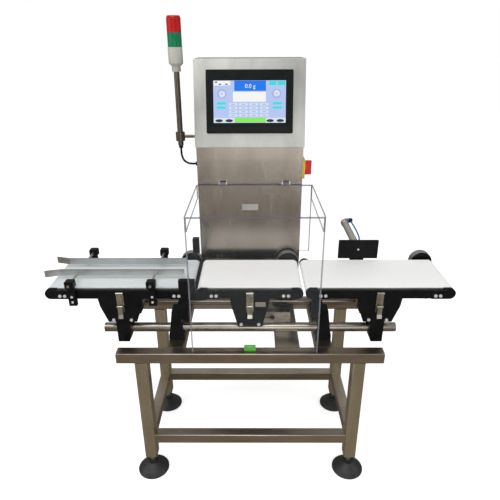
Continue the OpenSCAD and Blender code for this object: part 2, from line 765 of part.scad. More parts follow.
// Plates across the hanging side plates, and the spacers above and below the load cell
module carrier_plate(x, half_w, foot_z) difference() {
    box([x - half_w, x + half_w], [-plate_in_y, plate_in_y], [foot_z, foot_z + carrier_t]);
    for (s = [-1, 1], f = [-1, 1])
        bar_y(bolt_r + running, f < 0 ? [-plate_in_y - cut, carrier_hole_l - plate_in_y]
            : [plate_in_y - carrier_hole_l, plate_in_y + cut], x + s * foot_bolt_half, foot_z + foot_bolt_rise);
}
module carrier_plates() color([0.60, 0.60, 0.60]) {
    box([cell_x1 - 2 * pad_half_w, cell_x1], [-cell_half_w, cell_half_w], [rail_top_z, cell_z]);
    box([cell_x0, cell_x0 + 2 * pad_half_w], [-cell_half_w, cell_half_w], [cell_z + cell_h, weigh_hang_z]);
    carrier_plate(weigh_x, weigh_carrier_half_w, weigh_hang_z);
    for (x = [infeed_x, outfeed_x]) carrier_plate(x, outer_carrier_half_w, outer_hang_z);
}

// Guides: posts with clamp heads on the infeed conveyor, and two bars with sliding rods
module guide_posts() color([0.04, 0.04, 0.04])
    for (x = post_xs, f = [-1, 1]) difference() {
        union() {
            slab_y(f < 0 ? [-plate_out_y - post_t, -plate_out_y] : [plate_out_y, plate_out_y + post_t])
                polygon([[x - post_half_w, post_bottom_z], [x + post_half_w, post_bottom_z],
                    [x + post_half_w, strip_top_z], [x + post_half_w * 0.6, guide_rod_z],
                    [x - post_half_w * 0.6, guide_rod_z], [x - post_half_w, strip_top_z]]);
            slab_y(f < 0 ? [-guide_head_in_y - head_t, -guide_head_in_y] : [guide_head_in_y, guide_head_in_y + head_t])
                round_rect([x - head_half_w, guide_rod_z - head_half_h], [x + head_half_w, guide_rod_z + head_half_h], 4);
        }
        bar_y(guide_rod_r + running, f < 0 ? [-guide_head_in_y - head_t - cut, cut - guide_head_in_y]
            : [guide_head_in_y - cut, guide_head_in_y + head_t + cut], x, guide_rod_z);
    }

module guide_rail(f) color([0.66, 0.67, 0.66]) {
    y = lane_w / 2;
    translate([0, 0, guide_z]) linear_extrude(guide_h)
        polygon([for (p = [[guide_x0, y + flare_out], [guide_x0 + flare_len, y], [guide_x1, y],
            [guide_x1, y + guide_t], [guide_x0 + flare_len, y + guide_t], [guide_x0, y + guide_t + flare_out]])
            [p[0], f * p[1]]]);
    for (x = post_xs)
        bar_y(guide_rod_r, f < 0 ? [-guide_head_in_y - head_t - guide_rod_over, -y - guide_t / 2]
            : [y + guide_t / 2, guide_head_in_y + head_t + guide_rod_over], x, guide_rod_z);
}
module guide_rail_front() guide_rail(-1);
module guide_rail_rear() guide_rail(1);

// Photo eye behind the infeed's end, and its reflector in front
module photo_eye() color([0.07, 0.06, 0.06]) {
    box([eye_x - eye_half_w, eye_x + eye_half_w], [housing_out_y - eye_d, housing_out_y], [eye_z, eye_z + eye_h]);
    box([eye_x - eye_half_w, eye_x + eye_half_w], [housing_out_y, housing_out_y + eye_plate_t],
        [eye_z - eye_plate_drop, eye_z + eye_h]);
    for (d = [0.25, 0.7])
        bar_y(eye_lens_r, [housing_out_y - eye_d - eye_lens_h, housing_out_y - eye_d + cut], eye_x, eye_z + eye_h * d);
}
module photo_reflector() color([0.05, 0.05, 0.05]) {
    x = [reflector_x0, reflector_x0 + reflector_w];
    y = -block_out_y - strap_t;
    box(x, [y - reflector_d, y], [reflector_z, reflector_z + reflector_h]);
    box([reflector_x0 + strap_in, reflector_x0 + strap_in + strap_w], [y, y + strap_t],
        [reflector_z - strap_drop, reflector_z + reflector_h]);
}

// Pusher: the bracket with its valve, the air cylinder, the rod with its piston, and the plate
module reject_mount() color([0.06, 0.06, 0.06]) difference() {
    union() {
        box([pusher_x - mount_half_w, pusher_x + mount_half_w], [plate_out_y, plate_out_y + mount_t],
            [mount_z, cylinder_z - cylinder_r - 4]);
        box([pusher_x - mount_half_w, pusher_x + mount_half_w], [cylinder_y0, mount_block_y1],
            [cylinder_z - cylinder_r - mount_rise, cylinder_z + cylinder_r + mount_rise / 2]);
        box([pusher_x - valve_half_w, pusher_x + valve_half_w], [plate_out_y + mount_t, plate_out_y + mount_t + valve_d],
            [mount_z, mount_z + valve_h]);
    }
    bar_y(cylinder_r + running, [cylinder_y0 - cut, mount_block_y1 + cut], pusher_x, cylinder_z);
}
module reject_cylinder() color([0.74, 0.73, 0.70]) {
    difference() {
        union() {
            bar_y(cylinder_r, [cylinder_y0, cylinder_y1], pusher_x, cylinder_z);
            bar_y(cap_r, [mount_block_y1, mount_block_y1 + cap_len], pusher_x, cylinder_z);
            bar_y(cap_r, [cylinder_y1 - cap_len, cylinder_y1], pusher_x, cylinder_z);
            box([pusher_x, elbow_x + elbow_w / 2], [cylinder_y1 - cap_len + port_in, cylinder_y1 - port_in],
                [elbow_z - elbow_w / 2, elbow_z + elbow_w / 2]);
            box([pusher_x - elbow_w / 2, pusher_x + elbow_w / 2],
                [mount_block_y1 + port_in, mount_block_y1 + cap_len - port_in], [short_port_z, cylinder_z]);
        }
        bar_y(cylinder_r - cylinder_wall, [cylinder_y0 + nose_t, cylinder_y1 - rear_wall], pusher_x, cylinder_z);
        bar_y(rod_r + running, [cylinder_y0 - cut, cylinder_y0 + nose_t + cut], pusher_x, cylinder_z);
    }
}
module reject_rod() color([0.80, 0.80, 0.80]) {
    bar_y(rod_r, [pusher_back_y, cylinder_y1 - rear_wall - gap], pusher_x, cylinder_z);
    bar_y(piston_r, [cylinder_y1 - rear_wall - gap - piston_t, cylinder_y1 - rear_wall - gap], pusher_x, cylinder_z);
}
module reject_plate() color([0.05, 0.05, 0.05])
    slab_y([pusher_back_y - pusher_t, pusher_back_y])
        round_rect([pusher_x - pusher_w / 2, pusher_z], [pusher_x + pusher_w / 2, pusher_z + pusher_h], 2);

module air_hoses() color([0.05, 0.30, 0.85]) {
    swept(route(hose_route, [elbow_x, cylinder_y1 - cap_len + port_in, elbow_z], 4), hose_r, hose_sides, [1, 0, 0]);
    swept(route(short_hose_route, [pusher_x, mount_block_y1 + cap_len / 2, short_port_z], 3), hose_r, hose_sides,
        [1, 0, 0]);
}

// Cabinet
module column() color([0.55, 0.50, 0.45]) difference() {
    box([-cabinet_w / 2, cabinet_w / 2], [column_y0, column_y1], [rail_top_z, column_top_z]);
    box([sheet_t - cabinet_w / 2, cabinet_w / 2 - sheet_t], [column_y0 + sheet_t, column_y1 - sheet_t],
        [rail_top_z + sheet_t, column_top_z - sheet_t]);
    box([access_margin - cabinet_w / 2, cabinet_w / 2 - access_margin], [column_y1 - sheet_t - cut, column_y1 + cut],
        [rail_top_z + access_margin, column_top_z - access_margin]);
    bar_x(switch_shaft_r + running, [cabinet_w / 2 - sheet_t - cut, cabinet_w / 2 + cut], switch_y, switch_z);
}

// Rear cover of the column
module rear_cover() color([0.58, 0.54, 0.49])
    box([cover_margin - cabinet_w / 2, cabinet_w / 2 - cover_margin], [column_y1, column_y1 + cover_t],
        [rail_top_z + cover_margin, column_top_z - cover_margin]);

function head_outline(d) = [[head_y0 + d, column_top_z + d], [head_y_top + d, head_top_z - d],
    [column_y1 - d, head_top_z - d], [column_y1 - d, column_top_z + d]];
// The head's leaning face: x across, z up the slope, y out of the cabinet
module on_face() translate([0, head_y0, column_top_z]) rotate([-face_angle, 0, 0]) children();

module head() color([0.66, 0.64, 0.60]) difference() {
    slab_x([-cabinet_w / 2, cabinet_w / 2]) polygon(head_outline(0));
    slab_x([sheet_t - cabinet_w / 2, cabinet_w / 2 - sheet_t]) polygon(head_outline(sheet_t));
    on_face() box([-case_w / 2 - gap, case_w / 2 + gap], [-cut, 2 * sheet_t + cut],
        [face_mid - case_h / 2 - gap, face_mid + case_h / 2 + gap]);
}

module hmi_bezel() color([0.08, 0.10, 0.10]) on_face() difference() {
    union() {
        slab_y([-bezel_t, 0]) round_rect([-bezel_w / 2, face_mid - bezel_h / 2], [bezel_w / 2, face_mid + bezel_h / 2], 4);
        box([-case_w / 2, case_w / 2], [-cut, case_d], [face_mid - case_h / 2, face_mid + case_h / 2]);
    }
    box([-screen_w / 2, screen_w / 2], [-bezel_t - cut, screen_t + screen_sink - bezel_t],
        [face_mid - screen_h / 2, face_mid + screen_h / 2]);
}

module hmi_screen() color([0.55, 0.68, 0.88]) on_face()
    box([-screen_w / 2, screen_w / 2], [screen_sink - bezel_t, screen_t + screen_sink - bezel_t],
        [face_mid - screen_h / 2, face_mid + screen_h / 2]);

// Main switch on the cabinet's right side
module switch_plate() color([0.95, 0.75, 0.05]) difference() {
    slab_x([cabinet_w / 2, cabinet_w / 2 + switch_t])
        round_rect([switch_y - switch_size / 2, switch_z - switch_size / 2],
            [switch_y + switch_size / 2, switch_z + switch_size / 2], 5);
    bar_x(switch_shaft_r + running, [cabinet_w / 2 - cut, cabinet_w / 2 + switch_t + cut], switch_y, switch_z);
}
module switch_handle() color([0.85, 0.06, 0.05]) {
    x = cabinet_w / 2 + switch_t + gap;
    bar_x(switch_shaft_r, [cabinet_w / 2 - 2 * switch_t, x + cut], switch_y, switch_z);
    bar_x(switch_hub_r, [x, x + switch_hub_t], switch_y, switch_z);
    slab_x([x + switch_hub_t - cut, x + switch_hub_t + switch_grip_t])
        round_rect([switch_y - switch_grip_half_w, switch_z - switch_hub_r],
            [switch_y + switch_grip_half_w, switch_z + switch_hub_r], 4);
}

// Tower light on its pole, with the bracket to the head and the lead into the column
module lamp_pole() color([0.40, 0.38, 0.34]) {
    translate([lamp_x, lamp_y, 0]) difference() {
        union() {
            translate([0, 0, pole_z0]) cylinder(r = pole_r, h = pole_z1 - pole_z0);
            translate([0, 0, bracket_z - bracket_half_h]) cylinder(r = bracket_r, h = 2 * bracket_half_h);
        }
        translate([0, 0, pole_z0 - cut]) cylinder(r = pole_r - pole_wall, h = pole_z1 - pole_z0 + 2 * cut);
    }
    bar_x(bracket_rod_r, [lamp_x + bracket_r - cut, -cabinet_w / 2], lamp_y, bracket_z);
}
module lamp_base() color([0.62, 0.62, 0.57]) translate([lamp_x, lamp_y, pole_z1]) rotate_extrude()
    polygon([[0, 0], [socket_r, 0], [socket_r, socket_h], [lamp_r - base_chamfer, socket_h],
        [lamp_r, socket_h + base_chamfer], [lamp_r, socket_h + base_h], [0, socket_h + base_h]]);
// A lens with fine rings moulded round it
module lens(z, cap) translate([lamp_x, lamp_y, z]) {
    rotate_extrude() polygon(concat([[0, 0]],
        [for (i = [0 : lens_ribs - 1]) each [
            [lens_r, lens_h * (i + 0.05) / lens_ribs], [lens_r, lens_h * (i + 0.75) / lens_ribs],
            [lens_r - lens_groove, lens_h * (i + 0.90) / lens_ribs]]],
        [[lens_r, lens_h], [0, lens_h]]));
    if (cap) translate([0, 0, lens_h]) cylinder(r1 = lens_r, r2 = lens_r - 3, h = lamp_cap_h, $fn = 48);
}
lens_z = pole_z1 + socket_h + base_h;
module lamp_green() color([0.02, 0.55, 0.30]) lens(lens_z, false);
module lamp_red() color([0.80, 0.03, 0.03]) lens(lens_z + lens_h, true);
module lamp_cable() color([0.05, 0.05, 0.05]) {
    start = [lamp_x, lamp_y, pole_z0 - gland_h];
    translate(start) cylinder(r = gland_r, h = gland_h);
    swept(route(cable_route, start, 3), cable_r, hose_sides, [0, 1, 0]);
    bar_x(gland_r, [-cabinet_w / 2 - gland_h, -cabinet_w / 2], lamp_y, start[2] + cable_route[len(cable_route) - 1][2]);
}

// Guard: a fixed front panel on the stand's rail, a strip beside the column, and a hinged lid
module guard_panels() color([0.75, 0.80, 0.85, 0.35]) {
    box([guard_x0, guard_x1], [guard_y0, guard_y0 + guard_t], [rail_top_z, lid_z - gap]);
    box([cabinet_w / 2, guard_x1], [column_y0, column_y0 + guard_t], [rear_strip_bottom_z, lid_z]);
}
module guard_lid() color([0.75, 0.80, 0.85, 0.35]) difference() {
    union() {
        box([guard_x0, guard_x1], [guard_y0, lid_y1], [lid_z, lid_z + guard_t]);
        for (x = [guard_x0, guard_x1 - guard_t])
            box([x, x + guard_t], [guard_y0 + guard_t + gap, lid_y1], [lid_z - skirt_h, lid_z + cut]);
        for (x = hinge_xs) {
            bar_x(hinge_barrel_r, [x - hinge_half_w, x + hinge_half_w], hinge_y, hinge_z);
            box([x - hinge_half_w, x + hinge_half_w], [hinge_y - hinge_barrel_r, hinge_y], [lid_z, hinge_z]);
        }
    }
    for (x = hinge_xs)
        bar_x(hinge_pin_r + running, [x - hinge_half_w - cut, x + hinge_half_w + cut], hinge_y, hinge_z);
}
module guard_hinges() color([0.6, 0.6, 0.6])
    for (x = hinge_xs) {
        for (s = [-1, 1]) {
            ear_x = x + s * (hinge_half_w + gap + hinge_ear_t / 2);
            box([ear_x - hinge_ear_t / 2, ear_x + hinge_ear_t / 2], [hinge_y - hinge_pin_r - 2, column_y0],
                [hinge_z - hinge_pin_r - 2, hinge_z + hinge_barrel_r]);
        }
        bar_x(hinge_pin_r, [x - hinge_half_w - hinge_ear_t, x + hinge_half_w + hinge_ear_t], hinge_y, hinge_z);
    }

module bubble_level() color([0.25, 0.65, 0.15]) difference() {
    box([-level_w / 2, level_w / 2], [level_y - level_d / 2, level_y + level_d / 2], [rail_top_z, rail_top_z + level_h]);
    bar_x(level_vial_r, [-level_w / 2 + 3, level_w / 2 - 3], level_y, rail_top_z + level_h);
}

place() top_rails();
place() legs();
place() lower_rails();
place() tube_plugs();
place() foot_lock_nuts();
place() foot(-leg_x, -leg_y);  // foot_front_left
place() foot(leg_x, -leg_y);  // foot_front_right
place() foot(-leg_x, leg_y);  // foot_rear_left
place() foot(leg_x, leg_y);  // foot_rear_right
place() support_shafts();
place() shaft_clamps();
place() infeed_side_plates();
place() weigh_side_plates();
place() outfeed_side_plates();
place() slider_beds();
place() infeed_belt();
place() weigh_belt();
place() outfeed_belt();
place() infeed_drive_roller();
place() weigh_drive_roller();
place() outfeed_drive_roller();
place() infeed_tail_roller();
place() weigh_tail_roller();
place() outfeed_tail_roller();
place() drive_motors();
place() drive_housings();
place() tension_blocks();
place() plate_bolts();
place() latch_bases();
place() infeed_latch_lever();
place() weigh_latch_lever();
place() outfeed_latch_lever();
place() load_cell();
place() carrier_plates();
place() guide_posts();
place() guide_rail_front();
place() guide_rail_rear();
place() photo_eye();
place() photo_reflector();
place() reject_mount();
place() reject_cylinder();
place() reject_rod();
place() reject_plate();
place() air_hoses();
place() column();
place() rear_cover();
place() head();
place() hmi_bezel();
place() hmi_screen();
place() switch_plate();
place() switch_handle();
place() lamp_pole();
place() lamp_base();
place() lamp_green();
place() lamp_red();
place() lamp_cable();
place() guard_panels();
place() guard_lid();
place() guard_hinges();
place() bubble_level();
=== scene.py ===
# %% [markdown]
# # A checkweigher, dressed for its portrait
# The machine's solids arrive finished, as a frame of named nodes in metres. This lesson gives each of
# them its finish, adds the small pieces that only the eye needs, and lights the whole plainly.
# Every made piece sits at the origin with its place in its mesh, so that it lines up with the nodes.

# %% The frame
import bpy, bmesh, math
from mathutils import Matrix, Vector


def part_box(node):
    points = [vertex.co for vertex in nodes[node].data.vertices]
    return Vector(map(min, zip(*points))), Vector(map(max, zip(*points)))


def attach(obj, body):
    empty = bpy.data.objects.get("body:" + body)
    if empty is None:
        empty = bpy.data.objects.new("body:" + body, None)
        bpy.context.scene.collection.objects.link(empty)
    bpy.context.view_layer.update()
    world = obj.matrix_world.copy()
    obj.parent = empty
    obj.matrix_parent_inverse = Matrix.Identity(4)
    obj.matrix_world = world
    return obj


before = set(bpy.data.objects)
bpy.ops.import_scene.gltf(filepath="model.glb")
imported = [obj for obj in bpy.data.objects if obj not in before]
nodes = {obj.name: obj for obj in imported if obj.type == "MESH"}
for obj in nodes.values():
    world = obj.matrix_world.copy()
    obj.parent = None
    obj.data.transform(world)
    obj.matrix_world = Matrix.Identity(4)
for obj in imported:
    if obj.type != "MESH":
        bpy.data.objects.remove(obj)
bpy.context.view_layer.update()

# %% [markdown]
# The drawing of this machine is dimensioned in millimetres from the middle of the stand. The frame's
# origin lies under the middle of the whole machine, so one helper turns the first into the second.
# The machine's lengths are given in millimetres, and MM turns them into metres where they are used; only
# the floor and the lamps are placed in metres.

# %% Places
MM = 0.001
STAND = Vector((5.0, -77.5, 0.0))
X, Y, Z = range(3)

def at(x, y, z):
    """A point given in millimetres from the stand's middle, in the frame's metres."""
    return (Vector((x, y, z)) + STAND) * MM

print("stand's middle", at(0, 0, 0)[:])

# %% [markdown]
# The photograph was taken from a little above the belts, looking down at about 24 degrees. Its lens was
# worked out from the known 40 mm tubes. A camera looks along its own -Z, so its matrix is built from the
# line of sight, the level line across it, and a very small roll.

# %% The camera
PITCH, YAW, ROLL = (math.radians(angle) for angle in (23.66, -0.34, -0.21))
EYE = (8.6, -1392.5, 1381.7)
FILM_WIDTH, FOCAL_PX, PHOTO_PX = 36.0, 472.4, 500.0

sight = Vector((math.sin(YAW) * math.cos(PITCH), math.cos(YAW) * math.cos(PITCH), -math.sin(PITCH)))
across = Vector((math.cos(YAW), -math.sin(YAW), 0.0))
upward = across.cross(sight)
across, upward = (across * math.cos(ROLL) + upward * math.sin(ROLL),
                  upward * math.cos(ROLL) - across * math.sin(ROLL))
camera = bpy.data.objects.new("camera", bpy.data.cameras.new("camera"))
camera.data.sensor_width = FILM_WIDTH
camera.data.lens = FILM_WIDTH * FOCAL_PX / PHOTO_PX
camera.data.clip_end = 50.0
camera.matrix_world = Matrix((across, upward, -sight)).transposed().to_4x4()
camera.location = at(*EYE)
bpy.context.scene.collection.objects.link(camera)
bpy.context.scene.camera = camera
print("lens", round(camera.data.lens, 2), "mm")

# %% [markdown]
# A finish is a small network of nodes. Writing it as arithmetic keeps it readable: one class wraps a
# socket, and +, -, * and / on it add Math nodes. Every node comes from one method.

# %% The finish-maker
class Val:
    """One output of a finish's network, which can be reckoned with."""
    def __init__(self, finish, socket):
        self.finish, self.socket = finish, socket

    def _math(self, how, *inputs):
        return self.finish.node("ShaderNodeMath", {"operation": how}, dict(enumerate(inputs)))[0]

    def __add__(self, other): return self._math("ADD", self, other)
    def __sub__(self, other): return self._math("SUBTRACT", self, other)
    def __rsub__(self, other): return self._math("SUBTRACT", other, self)
    def __mul__(self, other): return self._math("MULTIPLY", self, other)
    def __truediv__(self, other): return self._math("DIVIDE", self, other)
    def over(self, edge): return self._math("GREATER_THAN", self, edge)
    def under(self, edge): return self._math("LESS_THAN", self, edge)
    def size(self): return self._math("ABSOLUTE", self)
    def most(self, other): return self._math("MAXIMUM", self, other)
    def clamp(self): return self.finish.node("ShaderNodeClamp", {}, {"Value": self})[0]


class Finish:
    """A material, and the one method that makes its nodes."""
    def __init__(self, name, color=(0.5, 0.5, 0.5), rough=0.5, metal=0.0, **fixed):
        self.material = bpy.data.materials.new(name)
        self.material.use_nodes = True
        self.tree = self.material.node_tree
        self.shader = self.tree.nodes["Principled BSDF"]
        self.put("Base Color", (*color, 1.0))
        self.put("Roughness", rough)
        self.put("Metallic", metal)
        for key, value in fixed.items():
            self.put(key.replace("_", " "), value)

    def put(self, key, value, where=None):
        """Links a value to an input of the shader or of another node, or sets that input to a number."""
        socket = (where or self.shader).inputs[key]
        if isinstance(value, Val):
            self.tree.links.new(value.socket, socket)
        else:
            socket.default_value = value

    def node(self, kind, settings=None, values=None, stops=None):
        """Adds a node with its settings, inputs and colour stops, and gives all its outputs."""
        made = self.tree.nodes.new(kind)
        for key, value in (settings or {}).items():
            setattr(made, key, value)
        if stops:
            ramp = made.color_ramp
            while len(ramp.elements) < len(stops):
                ramp.elements.new(1.0)
            for element, (place, color) in zip(ramp.elements, stops):
                element.position, element.color = place, (*color, 1.0)
        for key, value in (values or {}).items():
            self.put(key, value, made)
        return [Val(self, socket) for socket in made.outputs]

    def reading(self, kind, name):
        """One output, found by its name, of a node that needs no input."""
        return next(value for value in self.node(kind) if value.socket.name == name)

    def place(self):
        """Object coordinates, in metres."""
        return self.reading("ShaderNodeTexCoord", "Object")

    def split(self, vector):
        return self.node("ShaderNodeSeparateXYZ", {}, {0: vector})

    def facing(self):
        """The sizes of the true normal's X, Y and Z, turned with the piece so that a pose changes nothing."""
        normal = self.reading("ShaderNodeNewGeometry", "True Normal")
        turned = self.node("ShaderNodeVectorTransform",
                           {"vector_type": "NORMAL", "convert_from": "WORLD", "convert_to": "OBJECT"},
                           {0: normal})[0]
        return [side.size() for side in self.split(turned)]

    def stretched(self, scale):
        return self.node("ShaderNodeMapping", {}, {"Vector": self.place(), "Scale": scale})[0]

    def noise(self, scale, detail=3.0, stretch=(1, 1, 1)):
        return self.node("ShaderNodeTexNoise", {}, {"Vector": self.stretched(stretch), "Scale": scale,
                                                    "Detail": detail, "Roughness": 0.6})[0]

    def ramp(self, value, *stops):
        return self.node("ShaderNodeValToRGB", {}, {0: value}, stops)[0]

    def mix(self, share, first, second):
        """Two colours blended. A Mix node takes colours at its inputs 6 and 7, and gives them at output 2."""
        first, second = (c if isinstance(c, Val) else (*c, 1.0) for c in (first, second))
        return self.node("ShaderNodeMix", {"data_type": "RGBA"}, {0: share, 6: first, 7: second})[2]

    def bump(self, height, strength, distance):
        self.put("Normal", self.node("ShaderNodeBump", {}, {"Height": height, "Strength": strength,
                                                           "Distance": distance})[0])

print("finish-maker ready")

# %% [markdown]
# The stand and the cabinet are stainless steel, brushed along their length. Brushing shows as fine
# streaks: noise that is squeezed across the grain and drawn out along it. A slow, broad noise adds the
# warm and dark clouds that such sheet mirrors from a workshop, and keeps large faces from looking flat.

# %% Brushed stainless steel
GRAIN, GRAIN_STRETCH, CLOUD_STRETCH = 900.0, 0.02, 0.18
STREAK_DEPTH = 0.2 * MM

def drawn_out(along, share):
    """A stretch that draws a pattern out along one axis."""
    return [share if axis == along else 1.0 for axis in (X, Y, Z)]

def brushed(name, light, dark, along, rough, clouds=3.0, streak=0.05):
    """Brushed steel with its grain along one axis; clouds is how small they are, streak how deep it is."""
    f = Finish(name, light, rough, 1.0)
    fine = f.noise(GRAIN, 2.0, drawn_out(along, GRAIN_STRETCH))
    broad = f.noise(clouds * 4, 2.0, drawn_out(along, CLOUD_STRETCH))
    slow = f.noise(clouds)
    tone = (broad * 0.55 + slow * 0.75 - 0.15).clamp()
    color = f.ramp(tone, (0.30, dark), (0.72, light))
    f.put("Base Color", f.mix(fine * 0.35, color, tuple(min(1.0, c * 1.35) for c in light)))
    f.put("Roughness", fine * 0.16 + broad * 0.08 + (rough - 0.12))
    f.bump(fine, streak, STREAK_DEPTH)
    return f.material

BRIGHT = (0.78, 0.77, 0.74), (0.55, 0.53, 0.50)
# Lit and shaded copies of one steel: the tubes along the machine are painted darker and browner, a painted
# dark reflection, and the upright tubes are painted lighter, a painted highlight.
tube_x_shaded = brushed("tube along the machine", (0.52, 0.46, 0.39), (0.27, 0.22, 0.17), X, 0.30)
tube_z_lit = brushed("tube upright", (0.72, 0.69, 0.54), (0.38, 0.35, 0.25), Z, 0.30)
# A shaded and a lit copy of the same sheet: the cabinet is painted darker and browner, a painted dark
# reflection, and the head is painted lighter, a painted highlight.
sheet_z_shaded = brushed("cabinet sheet", (0.40, 0.36, 0.315), (0.20, 0.175, 0.15), Z, 0.24, 2.6, 0.04)
sheet_head_lit = brushed("head sheet", (0.60, 0.61, 0.58), (0.34, 0.35, 0.33), Z, 0.36, 5.0, 0.04)
bright = brushed("bright steel", *BRIGHT, X, 0.26, 9.0)
bright_y = brushed("bright steel across", *BRIGHT, Y, 0.26, 9.0)
# The support shafts are bright steel painted dark brown: a painted dark reflection.
shaft_steel_shaded = brushed("shaft steel", (0.42, 0.39, 0.34), (0.15, 0.13, 0.11), X, 0.24, 6.0, 0.03)
guide_steel = brushed("guide bar steel", (0.60, 0.61, 0.60), (0.42, 0.43, 0.43), X, 0.34, 8.0)
pole_steel = brushed("pole steel", (0.20, 0.18, 0.145), (0.07, 0.06, 0.05), Z, 0.34, 10.0, 0.03)
latch_steel = brushed("latch steel", (0.62, 0.60, 0.54), (0.26, 0.24, 0.20), Z, 0.28, 30.0)
bed_steel = brushed("bed steel", (0.66, 0.67, 0.66), (0.50, 0.50, 0.50), X, 0.32, 8.0)
print("steel", [m.name for m in (tube_x_shaded, tube_z_lit, sheet_z_shaded, sheet_head_lit, bright, bright_y, shaft_steel_shaded,
                                guide_steel, pole_steel, latch_steel, bed_steel)])

# %% [markdown]
# The side plates and clamps are aluminium with a black anodised skin: nearly black, satin, and a little
# lighter where it is handled. The plastics are black too, but with a fine moulded grain. Both get their
# grain from noise in a Bump node, at the size that it has on the real thing.

# %% Black skins
BLACK_GLOSS = 0.12

def black(name, color, rough, grain, depth, worn, **fixed):
    """A black skin with a grain so many millimetres deep, and lighter by worn where it is handled."""
    f = Finish(name, color, rough, **fixed)
    cloud = f.noise(26.0)
    fine = f.noise(grain, 2.0)
    lighter = tuple(c + worn for c in color)
    f.put("Base Color", f.mix((cloud * 1.6 - 0.45).clamp(), color, lighter))
    f.put("Roughness", cloud * 0.16 + (rough - 0.08))
    f.put("Specular IOR Level", BLACK_GLOSS)
    f.bump(fine, 0.35, depth * MM)
    return f.material

anodised = black("black anodised", (0.0035, 0.0035, 0.004), 0.34, 1800.0, 0.08, 0.006)
moulded = black("black moulded", (0.004, 0.004, 0.004), 0.42, 1200.0, 0.15, 0.006)
enamel = black("black enamel", (0.004, 0.004, 0.0045), 0.24, 300.0, 0.1, 0.005, Coat_Weight=0.06)
rubber = black("black rubber", (0.006, 0.006, 0.006), 0.55, 900.0, 0.2, 0.008)
bezel_black = black("terminal frame", (0.005, 0.007, 0.007), 0.30, 1600.0, 0.06, 0.004)
print("black", [m.name for m in (anodised, moulded, enamel, rubber, bezel_black)])

# %% [markdown]
# Some nodes are of two materials, and the place or the normal tells which: the drive housings have a
# pressed steel rim, the air cylinder has plastic fittings, and the rollers' axles end in black. A face is
# square-on to an axis when its normal's share of that axis is over 0.7. The screws are zinc-plated: paler
# and duller than bare steel, and slightly cloudy.

# %% Black and bright together
BLACKENED = (0.006, 0.006, 0.006)
SQUARE_ON = 0.7
FITTING_BESIDE, FITTING_UNDER, AXLE_TIP = 14.2, 8.0, 105.0
DRAWN_Y = drawn_out(Y, 0.05)

def housing_finish():
    """Black faces with a pressed steel rim round them."""
    f = Finish("drive housing", rough=0.4)
    pressed = 1.0 - f.facing()[Y].over(SQUARE_ON)
    f.put("Base Color", f.mix(pressed, BLACKENED, (0.42, 0.42, 0.40)))
    f.put("Metallic", pressed)
    f.put("Specular IOR Level", BLACK_GLOSS)
    f.put("Roughness", f.noise(60.0) * 0.15 + 0.26)
    return f.material

def cylinder_finish():
    """A bright tube with black plastic hose fittings beside it and under it."""
    f = Finish("air cylinder", rough=0.3)
    low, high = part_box("reject_cylinder")
    place = f.split(f.place())
    beside = place[X].over(high[X] - FITTING_BESIDE * MM)
    fitting = beside.most(place[Z].under(low[Z] + FITTING_UNDER * MM))
    f.put("Base Color", f.mix(fitting, (0.70, 0.70, 0.68), BLACKENED))
    f.put("Metallic", 1.0 - fitting)
    f.put("Roughness", f.noise(80.0, 2.0, DRAWN_Y) * 0.16 + 0.2)
    return f.material

def roller_finish():
    """Bright rollers whose axles' ends are blackened like the blocks that hold them."""
    f = Finish("roller", rough=0.3)
    tip = (f.split(f.place())[Y] - STAND.y * MM).size().over(AXLE_TIP * MM)
    f.put("Base Color", f.mix(tip, (0.72, 0.71, 0.69), BLACKENED))
    f.put("Metallic", 1.0 - tip)
    f.put("Specular IOR Level", BLACK_GLOSS)
    f.put("Roughness", f.noise(80.0, 2.0, DRAWN_Y) * 0.14 + 0.24)
    return f.material

def zinc_finish():
    """Pale plating, a little cloudy."""
    f = Finish("zinc-plated screw", (0.75, 0.75, 0.74), 0.35, 0.35)
    f.put("Base Color", f.mix(f.noise(300.0), (0.80, 0.80, 0.79), (0.62, 0.62, 0.61)))
    return f.material

drive_housing, air_cylinder, roller_steel = housing_finish(), cylinder_finish(), roller_finish()
zinc = zinc_finish()
print("two materials", [m.name for m in (drive_housing, air_cylinder, roller_steel)], "and", zinc.name)

# %% [markdown]
# The belts are smooth white polyurethane over a weave that hardly shows. A belt is never evenly clean: goods
# leave a faint grey track along its middle. The infeed belt is painted greyer and bluer all over: painted
# shade from the guide bars over it.
# The track is a band in Y, broken up by drawn-out noise.

# %% White belts
BELT_HALF = 100.0

def belt_finish(name, clean, worn):
    """A smooth belt with a greyer, shinier track along its middle."""
    f = Finish(name, clean, 0.46)
    off_middle = (f.split(f.place())[Y] - STAND.y * MM).size() / (BELT_HALF * MM)
    track = (1.0 - off_middle * off_middle).clamp() * f.noise(9.0, stretch=drawn_out(X, 0.15))
    f.put("Base Color", f.mix(track * 0.5, clean, worn))
    f.put("Roughness", 0.50 - track * 0.14)
    f.bump(f.noise(1500.0, 1.0), 0.15, 0.1 * MM)
    return f.material

belt_white = belt_finish("white belt", (0.97, 0.97, 0.96), (0.88, 0.88, 0.87))
# The infeed belt's greyer, bluer colours are painted shade from the guide bars, not dirt.
belt_shaded = belt_finish("white belt in painted shade", (0.70, 0.74, 0.75), (0.56, 0.62, 0.65))
print("belts", belt_white.name, belt_shaded.name)

# %% [markdown]
# The coloured plastics: yellow and red for the main switch, green and red lenses for the light, blue
# polyurethane hose. The lenses are translucent in life; here they are solid colours that deepen in soft
# clouds, with little shine. The switch's handle is red with a yellow collar at its foot.

# %% Coloured plastics
YELLOW, COLLAR = (0.88, 0.60, 0.02), 8.5

